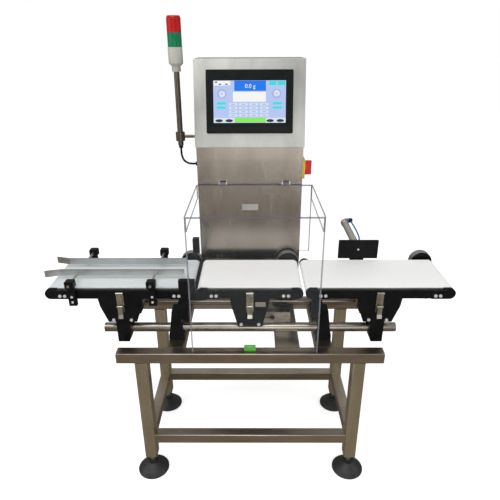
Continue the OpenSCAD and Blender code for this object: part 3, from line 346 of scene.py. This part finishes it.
def plastic(name, color, rough=0.32, shade=0.75, **fixed):
    """A coloured plastic that darkens in soft clouds, down to a share of its colour."""
    f = Finish(name, color, rough, **fixed)
    cloud = f.noise(40.0, 2.0)
    f.put("Base Color", f.mix(cloud * 0.6, color, tuple(c * shade for c in color)))
    f.put("Roughness", cloud * 0.12 + (rough - 0.06))
    return f.material

def handle_finish():
    """Red, with a yellow collar where the handle meets the switch's plate."""
    f = Finish("switch red over its yellow collar", rough=0.32)
    collar = f.split(f.place())[X].under(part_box("switch_handle")[0][X] + COLLAR * MM)
    f.put("Base Color", f.mix(collar, (0.62, 0.015, 0.012), YELLOW))
    f.put("Roughness", f.noise(40.0, 2.0) * 0.12 + 0.26)
    return f.material

yellow = plastic("switch yellow", YELLOW)
red_collared = handle_finish()
lens_green = plastic("green lens", (0.0, 0.20, 0.085), 0.34, 0.55, Specular_IOR_Level=0.3)
lens_red = plastic("red lens", (0.50, 0.002, 0.003), 0.34, 0.55, Specular_IOR_Level=0.3)
lamp_grey = plastic("light housing", (0.42, 0.42, 0.37), 0.4, 0.85)
blue = plastic("air hose blue", (0.01, 0.17, 0.72), 0.3, 0.8)
level_green = plastic("level vial", (0.10, 0.50, 0.04), 0.15, 0.7)
print("plastics", [m.name for m in (yellow, red_collared, lens_green, lens_red, lamp_grey, blue,
                                   level_green)])

# %% [markdown]
# The guard is clear acrylic. Seen through its faces it hardly shows; its cut edges gather light and draw a
# line. So a face is almost fully transparent, and an edge, told by its normal, is mostly a grey solid. The
# lid's side edges show through its top too, so a band as wide as the sheet is thick counts as edge there.

# %% Clear acrylic
SHEET, LID_BOTTOM = 5.0 * MM, at(0, 0, 942).z
FACE_ALPHA, EDGE_ALPHA = 0.02, 0.74
LID_BAND, PANEL_BAND, PANEL_BAND_W = 0.9, 0.7, SHEET * 0.8
lid_low, lid_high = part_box("guard_lid")
lid_half = (lid_high[X] - lid_low[X]) / 2
lid_middle = (lid_high[X] + lid_low[X]) / 2

def acrylic(name, edge_of):
    """Clear faces and grey edges, which a function tells from the place and the normal."""
    f = Finish(name, (0.90, 0.93, 0.95), 0.06, IOR=1.49)
    edge = edge_of(f.split(f.place()), f.facing())
    f.put("Base Color", f.mix(edge, (0.45, 0.48, 0.50), (0.13, 0.12, 0.16)))
    f.put("Alpha", edge * EDGE_ALPHA + FACE_ALPHA)
    return f.material

def rim(place, width):
    """1 within a width of the guard's left and right sides."""
    return (place[X] - lid_middle).size().over(lid_half - width)

def lid_edge(place, facing):
    """The lid's cut edges in front and behind, the sides of its top, and a band along them."""
    top_sides = facing[X].over(SQUARE_ON) * place[Z].over(LID_BOTTOM)
    top_bands = rim(place, SHEET) * facing[Z].over(SQUARE_ON) * LID_BAND
    return (facing[Y].over(SQUARE_ON) + top_sides + top_bands).clamp()

def panel_edge(place, facing):
    """All that doesn't face front or back, and a fainter band along the sides."""
    return (1.0 - facing[Y].over(SQUARE_ON) + rim(place, PANEL_BAND_W) * PANEL_BAND).clamp()

acrylic_panels = acrylic("clear acrylic upright", panel_edge)
acrylic_lid = acrylic("clear acrylic lid", lid_edge)
print("acrylic", acrylic_panels.name, acrylic_lid.name)

# %% [markdown]
# Now every node that came with the frame gets its finish. Its mesh stays as it is: only its material
# slots change. Modifiers weld the loose triangles and round the sharp edges by 0.4 to 1.5 mm, which lets
# an edge catch the light as a real one does.

# %% Dressing the nodes
WEARERS = (
    (tube_x_shaded, "top_rails lower_rails"),
    (tube_z_lit, "legs"),
    (bright, "tube_plugs foot_lock_nuts load_cell guard_hinges"),
    (bright_y, "carrier_plates reject_rod"),
    (shaft_steel_shaded, "support_shafts"),
    (anodised, "shaft_clamps infeed_side_plates weigh_side_plates outfeed_side_plates tension_blocks"),
    (anodised, "guide_posts reject_mount reject_plate"),
    (bed_steel, "slider_beds"),
    (belt_shaded, "infeed_belt"),
    (belt_white, "weigh_belt outfeed_belt"),
    (roller_steel, "infeed_drive_roller weigh_drive_roller outfeed_drive_roller"),
    (roller_steel, "infeed_tail_roller weigh_tail_roller outfeed_tail_roller"),
    (enamel, "drive_motors"),
    (drive_housing, "drive_housings"),
    (zinc, "plate_bolts"),
    (latch_steel, "latch_bases infeed_latch_lever weigh_latch_lever outfeed_latch_lever"),
    (guide_steel, "guide_rail_front guide_rail_rear"),
    (moulded, "photo_eye photo_reflector"),
    (air_cylinder, "reject_cylinder"),
    (blue, "air_hoses"),
    (sheet_z_shaded, "column rear_cover"),
    (sheet_head_lit, "head"),
    (bezel_black, "hmi_bezel"),
    (yellow, "switch_plate"),
    (red_collared, "switch_handle"),
    (pole_steel, "lamp_pole"),
    (lamp_grey, "lamp_base"),
    (lens_green, "lamp_green"),
    (lens_red, "lamp_red"),
    (rubber, "lamp_cable"),
    (acrylic_panels, "guard_panels"),
    (acrylic_lid, "guard_lid"),
    (level_green, "bubble_level"),
)
ROUNDINGS = (
    (0.4, "load_cell"),
    (0.5, "top_rails legs lower_rails infeed_side_plates weigh_side_plates outfeed_side_plates"),
    (0.6, "tension_blocks guide_posts reject_mount reject_plate lamp_base"),
    (0.8, "shaft_clamps photo_eye hmi_bezel switch_plate"),
    (1.0, "photo_reflector bubble_level"),
    (1.2, "drive_motors column head switch_handle"),
    (1.5, "drive_housings"),
)
finish_of = {name: finish for finish, names in WEARERS for name in names.split()}
rounding_of = {name: radius for radius, names in ROUNDINGS for name in names.split()}

def dress(name, material):
    """Gives a node its one finish and, if it is to be rounded, the modifiers that do it."""
    part = nodes[name]
    part.data.materials.clear()
    part.data.materials.append(material)
    if name in rounding_of:
        weld = part.modifiers.new("weld", "WELD")
        weld.merge_threshold = 0.01 * MM
        flat = part.modifiers.new("flat", "DECIMATE")
        flat.decimate_type = "DISSOLVE"
        flat.angle_limit = math.radians(2.0)
        edge = part.modifiers.new("edge", "BEVEL")
        edge.limit_method, edge.angle_limit = "ANGLE", math.radians(35)
        edge.width, edge.segments, edge.use_clamp_overlap = rounding_of[name] * MM, 2, True

for name, material in finish_of.items():
    dress(name, material)
print("dressed", len(finish_of), "of", len(nodes))
print("still bare", [name for name in nodes if name not in finish_of])

# %% [markdown]
# A levelling foot is one node with two finishes: a black pad and a bright threaded stem. The height
# tells them apart, and the thread is a triangular wave in Z, used as a bump.

# %% Feet
PAD, PAD_TOP, THREAD_SCALE = (0.014, 0.014, 0.014), 44.1, 78.0

def foot_finish():
    """Black plastic up to the pad's top, and bright thread above it."""
    f = Finish("foot", PAD, 0.5)
    stem = f.split(f.place())[Z].over(PAD_TOP * MM)
    wave = f.node("ShaderNodeTexWave", {"wave_type": "BANDS", "bands_direction": "Z", "wave_profile": "TRI"},
                  {"Vector": f.place(), "Scale": THREAD_SCALE})
    thread = wave[1]
    f.put("Base Color", f.mix(stem, PAD, (0.62, 0.61, 0.58)))
    f.put("Metallic", stem)
    f.put("Roughness", 0.42 - stem * 0.12 + f.noise(60.0) * 0.12)
    f.bump(thread * stem + f.noise(900.0) * 0.06, 0.5, 0.6 * MM)
    return f.material

foot_material = foot_finish()
for corner in ("front_left", "front_right", "rear_left", "rear_right"):
    dress("foot_" + corner, foot_material)
print("feet dressed")

# %% [markdown]
# New pieces come from bmesh. One helper gives a mesh its object and its body; another turns what a bmesh
# holds into such a piece with its materials; the rest draw into a bmesh.

# %% Piece-makers
def seat(name, mesh, body):
    """Makes a mesh a piece at the origin that rides on a body of the frame."""
    piece = bpy.data.objects.new(name, mesh)
    bpy.context.scene.collection.objects.link(piece)
    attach(piece, body)
    print("made", name, len(mesh.polygons), "faces")

def finished(name, bm, materials, body):
    """Turns what a bmesh holds into a piece with flat faces."""
    bmesh.ops.remove_doubles(bm, verts=bm.verts, dist=1e-7)
    bmesh.ops.recalc_face_normals(bm, faces=bm.faces)
    mesh = bpy.data.meshes.new(name)
    bm.to_mesh(mesh)
    bm.free()
    for material in materials:
        mesh.materials.append(material)
    seat(name, mesh, body)

def add_block(bm, low, high, edge):
    """A box between two corners in metres, with its edges rounded by so many millimetres."""
    low, high = Vector(low), Vector(high)
    made = bmesh.ops.create_cube(bm, size=1.0, matrix=Matrix.Translation((low + high) / 2)
                                 @ Matrix.Diagonal((*(high - low), 1.0)))["verts"]
    edges = list(dict.fromkeys(e for v in made for e in v.link_edges))
    bmesh.ops.bevel(bm, geom=edges, offset=edge * MM, offset_type="OFFSET", segments=2, profile=0.5,
                    affect="EDGES", material=-1, clamp_overlap=True)

def add_stud(bm, foot, radius, height, chamfer):
    """A round head that stands on a point along Y, or against Y if its height is negative."""
    turn = Matrix.Rotation(-math.pi / 2, 4, "X")
    if height < 0:
        turn = turn @ Matrix.Rotation(math.pi, 4, "X")
    depth = abs(height) * MM
    made = bmesh.ops.create_cone(bm, cap_ends=True, segments=20, radius1=radius * MM,
                                 radius2=(radius - chamfer) * MM, depth=depth)["verts"]
    bmesh.ops.transform(bm, verts=made, matrix=Matrix.Translation(foot) @ turn
                        @ Matrix.Translation((0, 0, depth / 2)))

print("piece-makers ready")

# %% [markdown]
# Some pieces are too small for the solids: a blank plate on the column and a blank tag on the weighing
# conveyor, the dark strip that joins the photo eye's and the reflector's plates, and the heads of the
# screws in the guide posts and in the pusher. Each lies on the face that carries it, which the frame's
# own boxes give.

# %% Small fittings
SUNK = 0.4

def label(name, carrier, low, high, proud, edge):
    """A blank plate on the front of a node, between two corners given as (x, z) in millimetres."""
    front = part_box(carrier)[0][Y]
    low, high = (at(x, 0, z) for x, z in (low, high))
    bm = bmesh.new()
    add_block(bm, (low.x, front - proud * MM, low.z), (high.x, front + SUNK * MM, high.z), edge)
    finished(name, bm, [guide_steel], "stand")

label("blank_plate", "column", (-27, 856), (28, 877.5), 0.8, 0.3)
label("blank_tag", "weigh_side_plates", (17, 627), (49, 643), 0.6, 0.2)

BRIDGE_LEFT, BRIDGE_FOOT_LEFT, BRIDGE_RIGHT = (at(x, 0, 0).x for x in (-174.5, -179, -163.5))
BRIDGE_TOP, BRIDGE_BOTTOM, BRIDGE_FOOT = (at(0, 0, z).z for z in (684, 682, 670))
BRIDGE_T, BRIDGE_OVER = 2.0, 6.0
eye_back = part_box("photo_eye")[1][Y]
mirror_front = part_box("photo_reflector")[0][Y]
bridge = bmesh.new()
add_block(bridge, (BRIDGE_LEFT, eye_back - BRIDGE_T * MM, BRIDGE_BOTTOM),
          (BRIDGE_RIGHT, mirror_front + BRIDGE_OVER * MM, BRIDGE_TOP), 0.3)
add_block(bridge, (BRIDGE_FOOT_LEFT, eye_back - BRIDGE_T * MM, BRIDGE_FOOT),
          (BRIDGE_RIGHT, eye_back, BRIDGE_TOP), 0.3)
finished("sensor_bridge", bridge, [anodised], "stand")

POST_XS, POST_T, POST_SCREW_ZS = (-547, -300), 12.0, (650, 668)
POST_SCREW_R, POST_SCREW_H, POST_SCREW_CHAMFER = 4.2, 2.6, 1.4
PUSHER_SCREW_R, PUSHER_SCREW_H, PUSHER_SCREW_CHAMFER = 3.6, 1.8, 0.9
SEATED = 0.2
plate_front, plate_back = (corner[Y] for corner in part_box("infeed_side_plates"))
screws = bmesh.new()
for side, face in ((-1, plate_front - POST_T * MM), (1, plate_back + POST_T * MM)):
    for x in POST_XS:
        for z in POST_SCREW_ZS:
            point = at(x, 0, z)
            add_stud(screws, (point.x, face - side * SEATED * MM, point.z),
                     POST_SCREW_R, side * POST_SCREW_H, POST_SCREW_CHAMFER)
finished("post_screws", screws, [zinc], "stand")

plate_low, plate_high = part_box("reject_plate")
plate_middle = (Vector(plate_low) + Vector(plate_high)) / 2
screw_foot = (plate_middle.x, plate_low[Y] + SEATED * MM, plate_middle.z)
screw = bmesh.new()
add_stud(screw, screw_foot, PUSHER_SCREW_R, -PUSHER_SCREW_H, PUSHER_SCREW_CHAMFER)
finished("pusher_screw", screw, [zinc], "pusher")

# %% [markdown]
# The terminal's screen shows a page: a blue bar with the weight, a white field, gauges, keys and a green
# bar. A page like this could be one image, but flat faces laid a hair above the glass stay sharp at any
# distance. They are placed on the leaning face, so one matrix carries the page from its own plane to it.

# %% The screen's plane
HEAD_H, LEAN, OVERHANG, COLUMN_TOP = 262.0, 58.0, 120.0, 1076.0
SCREEN_W, SCREEN_H, GLASS_Y, SCREEN_AT = 226.0, 127.0, -7.2, 0.52

tilt = math.atan(LEAN / HEAD_H)
slope_mid = HEAD_H / math.cos(tilt) * SCREEN_AT
on_face = (Matrix.Translation(at(0, OVERHANG, COLUMN_TOP)) @ Matrix.Rotation(-tilt, 4, "X")
           @ Matrix.Diagonal((MM, MM, MM, 1)))
print("slope", round(math.degrees(tilt), 2), "degrees,",
      "screen middle at", round(slope_mid, 1), "mm up the slope")

# %% The page's colours
PAGE = {
    "ground": (0.50, 0.62, 0.98), "white": (1.0, 1.0, 1.0), "blue": (0.0, 0.20, 0.95),
    "cyan": (0.03, 0.80, 0.80), "grey": (0.36, 0.46, 0.62), "green": (0.25, 0.95, 0.05),
    "dark": (0.015, 0.02, 0.02), "line": (0.75, 0.85, 1.0), "ring": (0.45, 0.35, 0.62),
}

def lit(name, color):
    """A colour that glows, as a lit screen's does, a little unevenly."""
    f = Finish(name, tuple(c * 0.25 for c in color), 0.22, Emission_Strength=0.62)
    f.put("Emission Color", f.mix(f.noise(14.0, 1.0) * 0.25, color, tuple(c * 0.86 for c in color)))
    return f.material

page_finishes = [lit("page " + name, color) for name, color in PAGE.items()]
page_kind = {name: i for i, name in enumerate(PAGE)}
print("page colours", list(PAGE))

# %% [markdown]
# Places on the page are shares of its width and height, from its lower left corner. What lies over
# something else is lifted a few hundredths of a millimetre more from the glass, so that no two faces fight.

# %% The page
ASPECT = SCREEN_W / SCREEN_H
LIFT_GROUND, LIFT_KEY, LIFT_FIELD, LIFT_MARK = 0.05, 0.08, 0.10, 0.12
LIFT_RING, LIFT_TOP, LIFT_WORDS = 0.14, 0.16, 0.2
FIELDS = (
    (0.0, 0.0, 1.0, 1.0, "ground", LIFT_GROUND),
    (0.0, 0.0, 0.29, 0.12, "line"),
    (0.72, 0.0, 1.0, 0.12, "line"),
    (0.01, 0.885, 0.235, 0.99, "white"),
    (0.29, 0.755, 0.725, 0.995, "blue"),
    (0.27, 0.50, 0.725, 0.735, "white"),
    (0.765, 0.89, 0.868, 0.985, "cyan"),
    (0.885, 0.89, 0.988, 0.985, "cyan"),
    (0.29, 0.015, 0.725, 0.115, "green"),
)
SIDE_BUTTON_LEFTS, SIDE_BUTTON_W, SIDE_BUTTONS = (0.045, 0.82), 0.125, ((0.435, 0.49), (0.335, 0.39))
KEY_LEFTS, KEY_ROWS, KEY_TOP_ROW, KEY_PITCH = (0.215, 0.355, 0.50, 0.645), 4, 0.415, 0.088
KEY_W, KEY_H, MARK_LEFT, MARK_BOTTOM, MARK_RIGHT, MARK_TOP = 0.115, 0.055, 0.03, 0.018, 0.085, 0.036
GAUGES, GAUGE_V, GAUGE_SWEEP = ((0.115, 35.0), (0.87, 130.0)), 0.69, 200.0
GAUGE_R, DIAL_R, HUB_R, GAUGE_HOLE, DIAL_HOLE = 0.062, 0.046, 0.010, 0.88, 0.82
ROUND_BUTTONS, ROUND_V, ROUND_W, ROUND_H = (0.075, 0.215, 0.785, 0.925), 0.052, 0.052, 0.036
SIGNS = ((0.025, 0.945, 0.03, 0.03), (0.075, 0.90, 0.035, 0.025), (0.165, 0.90, 0.035, 0.025))
DISC_STEPS = 28

def page_point(u, v, lift):
    """The point in the frame at a place on the page, so many millimetres above the glass."""
    return on_face @ Vector(((u - 0.5) * SCREEN_W, GLASS_Y - lift, slope_mid + (v - 0.5) * SCREEN_H))

def add_field(bm, left, bottom, right, top, kind, lift=LIFT_FIELD):
    """A rectangle of one of the page's colours."""
    corners = ((left, bottom), (right, bottom), (right, top), (left, top))
    bm.faces.new([bm.verts.new(page_point(u, v, lift)) for u, v in corners]).material_index = page_kind[kind]

def add_disc(bm, u, v, wide, high, kind, lift, inner=0.0, start=0.0, sweep=360.0):
    """A disc or, with an inner share, a ring. A sweep of less than 360 degrees leaves part of it out."""
    angles = [math.radians(start + sweep * i / DISC_STEPS) for i in range(DISC_STEPS + (sweep < 360))]
    turns = [(math.cos(angle), math.sin(angle)) for angle in angles]
    outer = [bm.verts.new(page_point(u + c * wide, v + s * high, lift)) for c, s in turns]
    if not inner:
        bm.faces.new(outer).material_index = page_kind[kind]
        return
    hole = [bm.verts.new(page_point(u + c * wide * inner, v + s * high * inner, lift)) for c, s in turns]
    count = len(turns)
    for i in range(count if sweep >= 360 else count - 1):
        j = (i + 1) % count
        bm.faces.new((outer[i], outer[j], hole[j], hole[i])).material_index = page_kind[kind]

page = bmesh.new()
for field in FIELDS:
    add_field(page, *field)
for left in SIDE_BUTTON_LEFTS:
    for bottom, top in SIDE_BUTTONS:
        add_field(page, left, bottom, left + SIDE_BUTTON_W, top, "cyan")
for row in range(KEY_ROWS):
    v = KEY_TOP_ROW - row * KEY_PITCH
    for left in KEY_LEFTS:
        add_field(page, left, v, left + KEY_W, v + KEY_H, "line", LIFT_KEY)
        add_field(page, left + MARK_LEFT, v + MARK_BOTTOM, left + MARK_RIGHT, v + MARK_TOP, "grey", LIFT_MARK)
for u, swing in GAUGES:
    add_disc(page, u, GAUGE_V, GAUGE_R, GAUGE_R * ASPECT, "ring", LIFT_RING, GAUGE_HOLE)
    add_disc(page, u, GAUGE_V, DIAL_R, DIAL_R * ASPECT, "line", LIFT_MARK)
    add_disc(page, u, GAUGE_V, DIAL_R, DIAL_R * ASPECT, "grey", LIFT_RING, DIAL_HOLE, swing, GAUGE_SWEEP)
    add_disc(page, u, GAUGE_V, HUB_R, HUB_R * ASPECT, "grey", LIFT_TOP)
for u in ROUND_BUTTONS:
    add_disc(page, u, ROUND_V, ROUND_W, ROUND_H, "dark", LIFT_TOP)
for u, v, wide, high in SIGNS:
    add_field(page, u, v, u + wide, v + high, "dark", LIFT_TOP)
finished("screen_page", page, page_finishes, "stand")

# %% [markdown]
# The weight stands on the blue bar as a number. Its figures come from Blender's own font as a text object,
# which becomes a mesh before its place is applied, so that it follows the other pieces of the page.

# %% The number on the page
NUMBER_U, NUMBER_V, NUMBER_SIZE = 0.508, 0.865, 17.0

def add_words(name, words, u, v, height, material):
    """Makes a piece of a few figures, centred at a place on the page."""
    curve = bpy.data.curves.new(name, "FONT")
    curve.body, curve.size, curve.align_x, curve.align_y = words, height, "CENTER", "CENTER"
    text = bpy.data.objects.new(name, curve)
    bpy.context.scene.collection.objects.link(text)
    bpy.context.view_layer.update()
    depsgraph = bpy.context.evaluated_depsgraph_get()
    mesh = bpy.data.meshes.new_from_object(text.evaluated_get(depsgraph))
    bpy.data.objects.remove(text)
    upright = Matrix.Rotation(math.pi / 2 - tilt, 4, "X")
    mesh.transform(Matrix.Translation(page_point(u, v, LIFT_WORDS)) @ upright @ Matrix.Scale(MM, 4))
    mesh.materials.clear()
    mesh.materials.append(material)
    seat(name, mesh, "stand")

add_words("screen_number", "0.0 g", NUMBER_U, NUMBER_V, NUMBER_SIZE, page_finishes[page_kind["white"]])

# %% [markdown]
# Under the page lies the glass itself, dark and glossy. The page covers all but its edges.

# %% The glass
DARK_GLASS = (0.02, 0.03, 0.05)
glass = Finish("screen glass", DARK_GLASS, 0.08, Coat_Weight=0.5)
glass.put("Base Color", glass.mix(glass.noise(20.0), DARK_GLASS, (0.03, 0.04, 0.06)))
dress("hmi_screen", glass.material)
print("glass dressed")

# %% [markdown]
# The floor is pale and plain, and keeps the machine's soft shadow. A white studio floor meets its backdrop
# without a line, so it glows a little, and only for the camera: Light Path tells the camera's rays, and
# those that pass through the guard, from the light's. The world is white to the same rays. Bright steel
# shows what stands around it, so to glossy rays the floor is a workshop's brown and the room darkens low.

# %% Floor and backdrop
PALE, WHITE, BROWN = (0.84, 0.84, 0.84), (1.0, 1.0, 1.0), (0.24, 0.20, 0.16)
FLOOR_GLOW, FLOOR_HALF = 0.6, 45.0

def is_ray(finish, *kinds):
    """1 for a ray of one of these kinds, and 0 for all others."""
    share, *others = (finish.reading("ShaderNodeLightPath", f"Is {kind} Ray") for kind in kinds)
    for other in others:
        share = share.most(other)
    return share

def floor_finish():
    """Pale in the light, white to the camera and brown in reflections."""
    f = Finish("pale floor", PALE, 0.8, Emission_Strength=FLOOR_GLOW)
    f.put("Base Color", f.mix(is_ray(f, "Glossy"), PALE, BROWN))
    f.put("Emission Color", f.mix(is_ray(f, "Camera", "Transmission"), (0, 0, 0), WHITE))
    return f.material

floor_form = bmesh.new()
bmesh.ops.create_grid(floor_form, x_segments=1, y_segments=1, size=FLOOR_HALF)
floor_mesh = bpy.data.meshes.new("floor")
floor_form.to_mesh(floor_mesh)
floor_form.free()
floor_mesh.materials.append(floor_finish())
floor = bpy.data.objects.new("floor", floor_mesh)
bpy.context.scene.collection.objects.link(floor)

class Sky(Finish):
    """The world's network, made with the same one method as a finish's."""
    def __init__(self, world):
        world.use_nodes = True
        self.tree = world.node_tree
        self.shader = self.tree.nodes["Background"]

world = bpy.data.worlds.new("studio")
bpy.context.scene.world = world
sky = Sky(world)
seen = is_ray(sky, "Camera", "Transmission")
height = sky.split(sky.reading("ShaderNodeTexCoord", "Generated"))[Z]
room = sky.ramp(height, (0.0, (0.62, 0.58, 0.53)), (0.35, (0.80, 0.78, 0.76)), (0.8, WHITE))
mirrored = sky.mix(is_ray(sky, "Glossy"), WHITE, room)
sky.put("Color", sky.mix(seen, mirrored, WHITE))
sky.put("Strength", seen * 0.5 + 0.5)
print("floor and world ready")

# %% [markdown]
# Light comes from a broad softbox above and in front, a weaker one on each side, and a low one in front
# that fills the stand. Large lamps give soft shadows and long gleams along the tubes.

# %% Lamps
def softbox(name, place, target, size, power, color=WHITE):
    """A square lamp that faces its target."""
    lamp = bpy.data.lights.new(name, "AREA")
    lamp.shape, lamp.size, lamp.energy, lamp.color = "SQUARE", size, power, color
    box = bpy.data.objects.new(name, lamp)
    box.location = place
    box.rotation_euler = (Vector(target) - Vector(place)).to_track_quat("-Z", "Y").to_euler()
    bpy.context.scene.collection.objects.link(box)

softbox("lamp above", (-0.6, -1.2, 3.2), (0, 0, 0.6), 2.4, 42)
softbox("lamp left", (-3.0, -1.2, 1.6), (0, 0, 0.7), 1.6, 22, (1.0, 0.98, 0.95))
softbox("lamp right", (3.0, -1.0, 1.8), (0, 0, 0.7), 1.6, 16)
softbox("lamp front", (0.2, -3.2, 1.0), (0, 0, 0.5), 1.8, 16)
bpy.context.scene.view_settings.view_transform = "Standard"
print("lamps ready")
